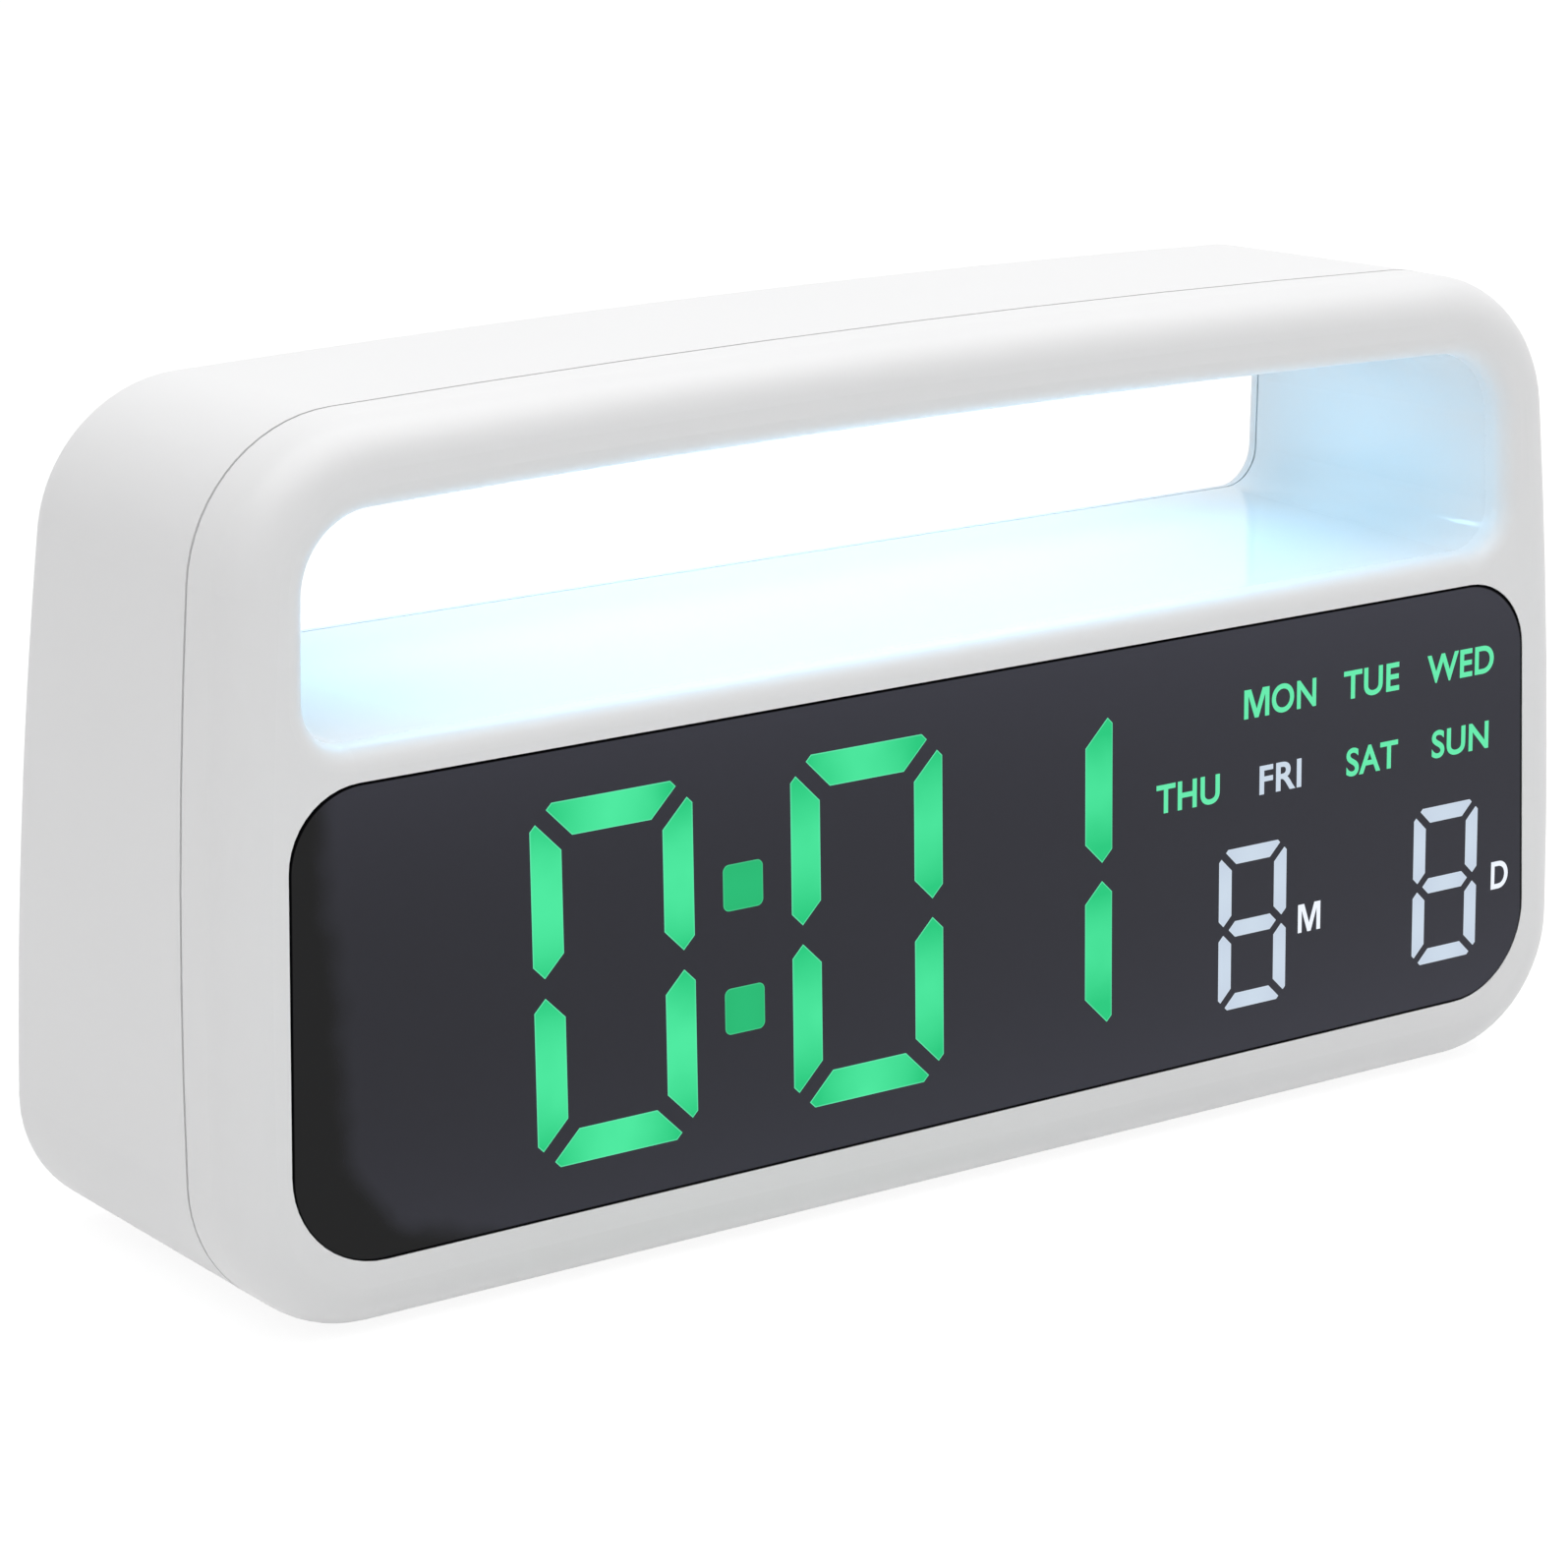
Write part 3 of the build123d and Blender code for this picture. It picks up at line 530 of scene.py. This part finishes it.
def lit_finish(name, core, ends, rim):
    """Light guide seen through the lens: brightest over its lamp, dimmer to the right, with a thin rim."""
    finish, tree, shader = new_finish(name)
    span = add_node(tree, "ShaderNodeAttribute", attribute_name="span").outputs["Fac"]
    edge = add_node(tree, "ShaderNodeAttribute", attribute_name="edge").outputs["Fac"]
    drift = place_grain(tree, drift=lit_drift_size)["Drift"]
    away = maths(tree, "POWER", maths(tree, "ABSOLUTE", span), lit_span_power)
    uneven = ranged(tree, drift, lit_noise_low, lit_noise_high, -lit_drift, lit_drift)
    falloff = ranged(tree, axes_in(tree)["X"], lit_near, lit_far, 0.0, lit_falloff)
    for dimming in (uneven, falloff):
        away = maths(tree, "ADD", away, dimming)
    set_inputs(tree, shader, {
        "Base Color": lit_base,
        "Roughness": lit_rough,
        "IOR": lens_ior,
        "Emission Color": mix_colour(tree, edge, mix_colour(tree, away, core, ends), rim),
        "Emission Strength": lit_glow,
    })
    return finish


def diffuser_finish(name):
    """Frosted strip with a soft bright spot under each lamp."""
    finish, tree, shader = new_finish(name)
    pitch = (strip_high.x - strip_low.x) / night_lamp_count
    along = maths(tree, "DIVIDE", maths(tree, "SUBTRACT", axes_in(tree)["X"], strip_low.x), pitch)
    from_lamp = maths(tree, "ABSOLUTE", maths(tree, "SUBTRACT", maths(tree, "FRACT", along), 0.5))
    spot = ranged(tree, from_lamp, 0.0, 0.5, 1.0, 0.0, smooth=True)
    set_inputs(tree, shader, {
        "Base Color": strip_base,
        "Roughness": strip_rough,
        "Emission Color": mix_colour(tree, spot, strip_between_lamps, strip_under_lamps),
        "Emission Strength": strip_glow,
    })
    return finish


def moulding_finish(name, light, dark, rough, grain=grain_size, bump=moulding_bump):
    """Plain moulded piece with a fine grain and an uneven tone."""
    finish, tree, shader = new_finish(name)
    pattern = place_grain(tree, grain)
    height = pattern["Height"]
    spread = (rough - moulding_rough_spread, rough + moulding_rough_spread)
    set_inputs(tree, shader, {
        "Base Color": mix_colour(tree, pattern["Drift"], dark, light),
        "Roughness": ranged(tree, height, noise_low, noise_high, *spread),
        "Normal": bump_normal(tree, height, bump, moulding_grain_depth),
    })
    return finish


def specked_finish(name, ground, speck, rough, size, share, metallic=0.0, bump=speck_bump):
    """Rubber, board lacquer or plated metal with small specks."""
    finish, tree, shader = new_finish(name)
    specks = place_group(tree, speckle, {"Speck Size": size, "Share": share})
    height = specks["Height"]
    spread = (rough - speck_rough_spread, rough + speck_rough_spread)
    set_inputs(tree, shader, {
        "Base Color": mix_colour(tree, specks["Speck"], ground, speck),
        "Metallic": metallic,
        "Roughness": ranged(tree, height, 0.0, 1.0, *spread),
        "Normal": bump_normal(tree, height, bump, speck_depth),
    })
    return finish


def inlet_finish(name):
    """Black inlet body with a bright metal pin on its axis."""
    low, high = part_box("power_jack")
    middle = (low + high) / 2
    finish, tree, shader = new_finish(name)
    axes = axes_in(tree)
    across = maths(tree, "SUBTRACT", axes["X"], middle.x)
    upward = maths(tree, "SUBTRACT", axes["Z"], middle.z)
    squares = [maths(tree, "POWER", value, 2.0) for value in (across, upward)]
    pin = maths(tree, "LESS_THAN", maths(tree, "ADD", *squares), pin_radius ** 2)
    grain = place_grain(tree, drift=inlet_drift_size)
    black = mix_colour(tree, grain["Drift"], black_dark, black_light)
    set_inputs(tree, shader, {
        "Base Color": mix_colour(tree, pin, black, pin_metal),
        "Metallic": pin,
        "Roughness": ranged(tree, pin, 0.0, 1.0, inlet_rough, pin_rough),
        "Normal": bump_normal(tree, grain["Height"], inlet_bump, inlet_grain_depth),
    })
    return finish


def make_finishes():
    """Every finish of the clock, by name."""
    made = {
        "front_white": shell_finish("front_white", has_tunnel=True),
        "rear_white": shell_finish("rear_white", has_tunnel=False),
        "black_lens": lens_finish("black_lens"),
        "frosted_strip": diffuser_finish("frosted_strip"),
        "inlet_black": inlet_finish("inlet_black"),
    }
    for make, looks in (
        (lit_finish, lit_looks),
        (moulding_finish, moulding_looks),
        (specked_finish, specked_looks),
    ):
        for name, look in looks.items():
            made[name] = make(name, **look)
    return made


finishes = make_finishes()


def finish_nodes():
    """Gives every carried-over piece its finish."""
    for name, piece in nodes.items():
        piece.data.materials.clear()
        piece.data.materials.append(finishes[node_finishes[name]])


def add_piece(name, mesh, finish):
    """Puts a finished mesh into the scene as a piece of the clock's body."""
    piece = bpy.data.objects.new(name, mesh)
    bpy.context.scene.collection.objects.link(piece)
    mesh.materials.clear()
    mesh.materials.append(finishes[finish])
    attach(piece, BODY)
    return piece


def mesh_from(work, name):
    """Plain mesh from the working mesh, which is then let go."""
    mesh = bpy.data.meshes.new(name)
    work.to_mesh(mesh)
    work.free()
    return mesh


def box_of(verts):
    """Lowest and highest corner of some vertices."""
    places = [vert.co for vert in verts]
    return [Vector([pick(place[axis] for place in places) for axis in range(3)]) for pick in (min, max)]


def lit_film(node, finish):
    """Lit face of each segment: a thin plate on the lens, marked along its length and at its edge."""
    work = bmesh.new()
    work.from_mesh(nodes[node].data)
    bmesh.ops.remove_doubles(work, verts=work.verts, dist=merge_distance)
    hidden = [face for face in work.faces if face.normal.y > front_normal_limit]
    bmesh.ops.delete(work, geom=hidden, context="FACES")
    inner = [edge for edge in work.edges if not edge.is_boundary]
    bmesh.ops.dissolve_edges(work, edges=inner, use_verts=False)
    span = work.verts.layers.float.new("span")
    edge_mark = work.verts.layers.float.new("edge")
    segments = list(work.faces)
    for face in segments:
        for vert in face.verts:
            vert[edge_mark] = 1.0
    bmesh.ops.inset_individual(work, faces=segments, thickness=film_rim, use_even_offset=True)
    for face in segments:
        island = {vert for edge in face.edges for side in edge.link_faces for vert in side.verts}
        low, high = box_of(island)
        along = 0 if high.x - low.x > high.z - low.z else 2
        for vert in island:
            vert[span] = 2 * (vert.co[along] - low[along]) / (high[along] - low[along]) - 1
        for vert in face.verts:
            vert[edge_mark] = 0.0
    rim = [edge for edge in work.edges if edge.is_boundary]
    skirt = bmesh.ops.extrude_edge_only(work, edges=rim)["geom"]
    wall = {item for item in skirt if isinstance(item, bmesh.types.BMVert)}
    for vert in work.verts:
        vert.co.y = lens_low.y if vert in wall else lens_low.y - film_proud
    bmesh.ops.recalc_face_normals(work, faces=work.faces)
    return add_piece(node + "_film", mesh_from(work, node + "_film"), finish)


def display_word(text, across, height, width, finish, slot):
    """Word of the calendar in a plain face, as a thin plate on the lens."""
    curve = bpy.data.curves.new("word", "FONT")
    curve.body = text
    curve.bevel_depth = word_weight
    curve.bevel_resolution = 0
    curve.extrude = word_weight
    curve.space_character = word_spacing
    source = bpy.data.objects.new("word", curve)
    bpy.context.scene.collection.objects.link(source)
    bpy.context.view_layer.update()
    mesh = bpy.data.meshes.new_from_object(source.evaluated_get(bpy.context.evaluated_depsgraph_get()))
    bpy.data.objects.remove(source)
    low, high = box_of(mesh.vertices)
    middle, spread = (low + high) / 2, high - low
    for vert in mesh.vertices:
        share = vert.co - middle
        vert.co = (
            across + share.x / spread.x * width,
            lens_low.y - word_thickness * (0.5 + share.z / spread.z),
            height + share.y / spread.y * word_height,
        )
    mesh.name = "word_" + text.lower()
    return add_piece(mesh.name, mesh, finish)


def mirrored(points):
    """Points of an outline's other half, in turn, where the whole is one wide."""
    return [(1 - x, z) for x, z in reversed(points)]


def display_m(name, across, height, width, finish, slot):
    """Letter M of the calendar as a thin plate on the lens."""
    left_stem = [(0.0, 0.0), (m_stem_share, 0.0), (m_stem_share, m_stem_rise_share)]
    left_base = left_stem + [(0.5 - m_point_share / 2, 0.0)]
    right_top = [(1.0, 1.0), (1 - m_shoulder_share, 1.0)]
    notch = [(0.5, m_notch_share)]
    outline = left_base + mirrored(left_base) + right_top + notch + mirrored(right_top)
    work = bmesh.new()
    rings = []
    for depth in (lens_low.y - word_thickness, lens_low.y):
        places = [
            (across + (x - 0.5) * width, depth, height + (z - 0.5) * word_height) for x, z in outline
        ]
        rings.append([work.verts.new(place) for place in places])
    face, back = rings
    work.faces.new(face)
    work.faces.new(back[::-1])
    for at in range(len(outline)):
        after = (at + 1) % len(outline)
        work.faces.new((face[at], back[at], back[after], face[after]))
    bmesh.ops.recalc_face_normals(work, faces=work.faces)
    bmesh.ops.triangulate(work, faces=work.faces)
    return add_piece(name, mesh_from(work, name), finish)


def make_display():
    for node in ("hours_segments", "minutes_tens_segments", "minutes_units_segments"):
        lit_film(node, "lit_green")
    lit_film("colon_dots", "lit_colon")
    for node in ("month_segments", "day_segments"):
        lit_film(node, "lit_pale")
    for word in green_words:
        display_word(*word, "word_green", "green_light")
    for word in pale_words:
        display_word(*word, "lit_pale", "pale_light")
    for word in white_words:
        display_word(*word, "word_white", "pale_light")
    display_m(*green_m, "word_green", "green_light")
    display_m(*white_m, "word_white", "pale_light")


def make_screw_tree():
    """Cross-recess screws at the corners of a rectangle, their heads to the back."""
    tree = bpy.data.node_groups.new("case_screws", "GeometryNodeTree")
    sizes = ("Span X", "Span Z", "Head Radius", "Head Height", "Shank Radius", "Shank Length",
             "Recess Length", "Recess Width", "Recess Depth")
    for label in sizes:
        tree.interface.new_socket(name=label, in_out="INPUT", socket_type="NodeSocketFloat")
    tree.interface.new_socket(name="Finish", in_out="INPUT", socket_type="NodeSocketMaterial")
    tree.interface.new_socket(name="Geometry", in_out="OUTPUT", socket_type="NodeSocketGeometry")
    given = tree.nodes.new("NodeGroupInput").outputs
    end = tree.nodes.new("NodeGroupOutput")
    deep = maths(tree, "MULTIPLY", given["Recess Depth"], 2.0)
    head_middle = maths(tree, "DIVIDE", given["Head Height"], 2.0)
    shank_middle = maths(tree, "DIVIDE", given["Shank Length"], -2.0)

    def lifted(mesh, height):
        rise = add_node(tree, "ShaderNodeCombineXYZ", {"Z": height}).outputs[0]
        return add_node(tree, "GeometryNodeTransform", {"Geometry": mesh, "Translation": rise}).outputs[0]

    def round_bar(radius, length, height):
        inputs = {"Vertices": screw_sides, "Radius": radius, "Depth": length}
        return lifted(add_node(tree, "GeometryNodeMeshCylinder", inputs).outputs["Mesh"], height)

    def recess_arm(first, second):
        size = add_node(tree, "ShaderNodeCombineXYZ", {"X": first, "Y": second, "Z": deep}).outputs[0]
        block = add_node(tree, "GeometryNodeMeshCube", {"Size": size}).outputs["Mesh"]
        return lifted(block, given["Head Height"])

    head = round_bar(given["Head Radius"], given["Head Height"], head_middle)
    shank = round_bar(given["Shank Radius"], given["Shank Length"], shank_middle)
    for first, second in (("Recess Length", "Recess Width"), ("Recess Width", "Recess Length")):
        cutter = add_node(tree, "GeometryNodeMeshBoolean", operation="DIFFERENCE")
        set_inputs(tree, cutter, {"Mesh 1": head, "Mesh 2": recess_arm(given[first], given[second])})
        head = cutter.outputs["Mesh"]
    screw = tree.nodes.new("GeometryNodeJoinGeometry")
    for bar in (head, shank):
        tree.links.new(bar, screw.inputs[0])
    span = {"Size X": given["Span X"], "Size Y": given["Span Z"], "Vertices X": 2, "Vertices Y": 2}
    corners = add_node(tree, "GeometryNodeMeshGrid", span).outputs["Mesh"]
    repeat = {"Points": corners, "Instance": screw.outputs[0]}
    placed = add_node(tree, "GeometryNodeInstanceOnPoints", repeat).outputs[0]
    upright = {"Geometry": placed, "Rotation": (-math.pi / 2, 0, 0)}
    turned = add_node(tree, "GeometryNodeTransform", upright).outputs[0]
    plain = add_node(tree, "GeometryNodeRealizeInstances", {"Geometry": turned}).outputs[0]
    dress = {"Geometry": plain, "Material": given["Finish"]}
    dressed = add_node(tree, "GeometryNodeSetMaterial", dress).outputs[0]
    tree.links.new(dressed, end.inputs["Geometry"])
    return tree


def make_case_screws():
    """The four housing screws, deep in their wells in the back."""
    low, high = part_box("case_screws")
    tree = make_screw_tree()
    piece = bpy.data.objects.new("cross_screws", bpy.data.meshes.new("cross_screws"))
    bpy.context.scene.collection.objects.link(piece)
    modifier = piece.modifiers.new("screws", "NODES")
    modifier.node_group = tree
    values = {
        "Span X": high.x - low.x - 2 * screw_head_radius,
        "Span Z": high.z - low.z - 2 * screw_head_radius,
        "Head Radius": screw_head_radius,
        "Head Height": screw_head_height,
        "Shank Radius": screw_shank_radius,
        "Shank Length": high.y - low.y - screw_head_height,
        "Recess Length": screw_recess_length,
        "Recess Width": screw_recess_width,
        "Recess Depth": screw_recess_depth,
        "Finish": finishes["plated_steel"],
    }
    for socket in tree.interface.items_tree:
        if socket.in_out == "INPUT":
            modifier[socket.identifier] = values[socket.name]
    bpy.context.view_layer.update()
    mesh = bpy.data.meshes.new_from_object(piece.evaluated_get(bpy.context.evaluated_depsgraph_get()))
    piece.modifiers.remove(modifier)
    bpy.data.objects.remove(piece)
    middle = (low + high) / 2
    mesh.transform(Matrix.Translation((middle.x, high.y - screw_head_height, middle.z)))
    mesh.name = "cross_screws"
    made = add_piece("cross_screws", mesh, "plated_steel")
    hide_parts("case_screws")


def seen_directly(tree):
    """One for rays from the camera, a mirror or glass, and zero for the light that bounces."""
    path = add_node(tree, "ShaderNodeLightPath").outputs
    direct = maths(tree, "MAXIMUM", path["Is Camera Ray"], path["Is Glossy Ray"])
    return maths(tree, "MAXIMUM", direct, path["Is Transmission Ray"])


def make_floor():
    """Plain pale floor that runs out to the white background and keeps the clock's shadow."""
    half = floor_size / 2
    corners = [(-half, -half, 0), (half, -half, 0), (half, half, 0), (-half, half, 0)]
    mesh = bpy.data.meshes.new("floor")
    mesh.from_pydata(corners, [], [(0, 1, 2, 3)])
    floor = bpy.data.objects.new("floor", mesh)
    bpy.context.scene.collection.objects.link(floor)
    finish = bpy.data.materials.new("floor_white")
    finish.use_nodes = True
    tree = finish.node_tree
    tree.nodes.clear()
    direct = seen_directly(tree)
    colour = mix_colour(tree, direct, floor_colour, floor_shown_colour)
    matt = add_node(tree, "ShaderNodeBsdfDiffuse", {"Color": colour})
    shine = add_node(tree, "ShaderNodeEmission", {"Strength": maths(tree, "MULTIPLY", direct, floor_glow)})
    both = add_node(tree, "ShaderNodeAddShader", {0: matt.outputs[0], 1: shine.outputs[0]})
    add_node(tree, "ShaderNodeOutputMaterial", {"Surface": both.outputs[0]})
    mesh.materials.append(finish)


def make_sky():
    """Soft light from all round, stronger from above, shown as plain white behind the clock."""
    world = bpy.data.worlds.new("studio")
    bpy.context.scene.world = world
    world.use_nodes = True
    tree = world.node_tree
    tree.nodes.clear()
    upward = axes_in(tree, "Generated")["Z"]
    soft = ranged(tree, upward, 0.0, 1.0, sky_low_level, sky_high_level)
    level = mix_value(tree, seen_directly(tree), soft, sky_shown_level)
    back = add_node(tree, "ShaderNodeBackground", {"Color": sky_colour, "Strength": level})
    add_node(tree, "ShaderNodeOutputWorld", {"Surface": back.outputs[0]})


def add_lamp(name, width, depth, power, colour, place):
    """Flat lamp that shines straight down."""
    lamp = bpy.data.lights.new(name, "AREA")
    lamp.shape = "RECTANGLE"
    lamp.size = width
    lamp.size_y = depth
    lamp.energy = power
    lamp.color = colour
    holder = bpy.data.objects.new(name, lamp)
    holder.location = place
    bpy.context.scene.collection.objects.link(holder)


def make_lamps():
    above = (0, -softbox_forward, softbox_height)
    add_lamp("softbox", softbox_width, softbox_depth, softbox_power, softbox_colour, above)
    middle = (strip_low + strip_high) / 2
    under = (middle.x, middle.y - night_lamp_forward, strip_low.z - night_lamp_drop)
    add_lamp("night_light", strip_high.x - strip_low.x, night_lamp_depth, night_power, night_colour, under)


def make_camera():
    lens = bpy.data.cameras.new("camera")
    lens.lens = camera_lens
    lens.sensor_width = camera_sensor
    camera = bpy.data.objects.new("camera", lens)
    heading = Matrix.Rotation(-math.radians(camera_heading), 4, "Z")
    pitch = Matrix.Rotation(math.radians(90 + camera_pitch), 4, "X")
    roll = Matrix.Rotation(math.radians(camera_roll), 4, "Z")
    display_face = Vector((0, lens_low.y, 0))
    place = Matrix.Translation(display_face + Vector(camera_place))
    camera.matrix_world = place @ heading @ pitch @ roll
    bpy.context.scene.collection.objects.link(camera)
    bpy.context.scene.camera = camera


bpy.context.scene.view_settings.view_transform = "Standard"
finish_nodes()
make_display()
make_case_screws()
make_floor()
make_sky()
make_lamps()
make_camera()
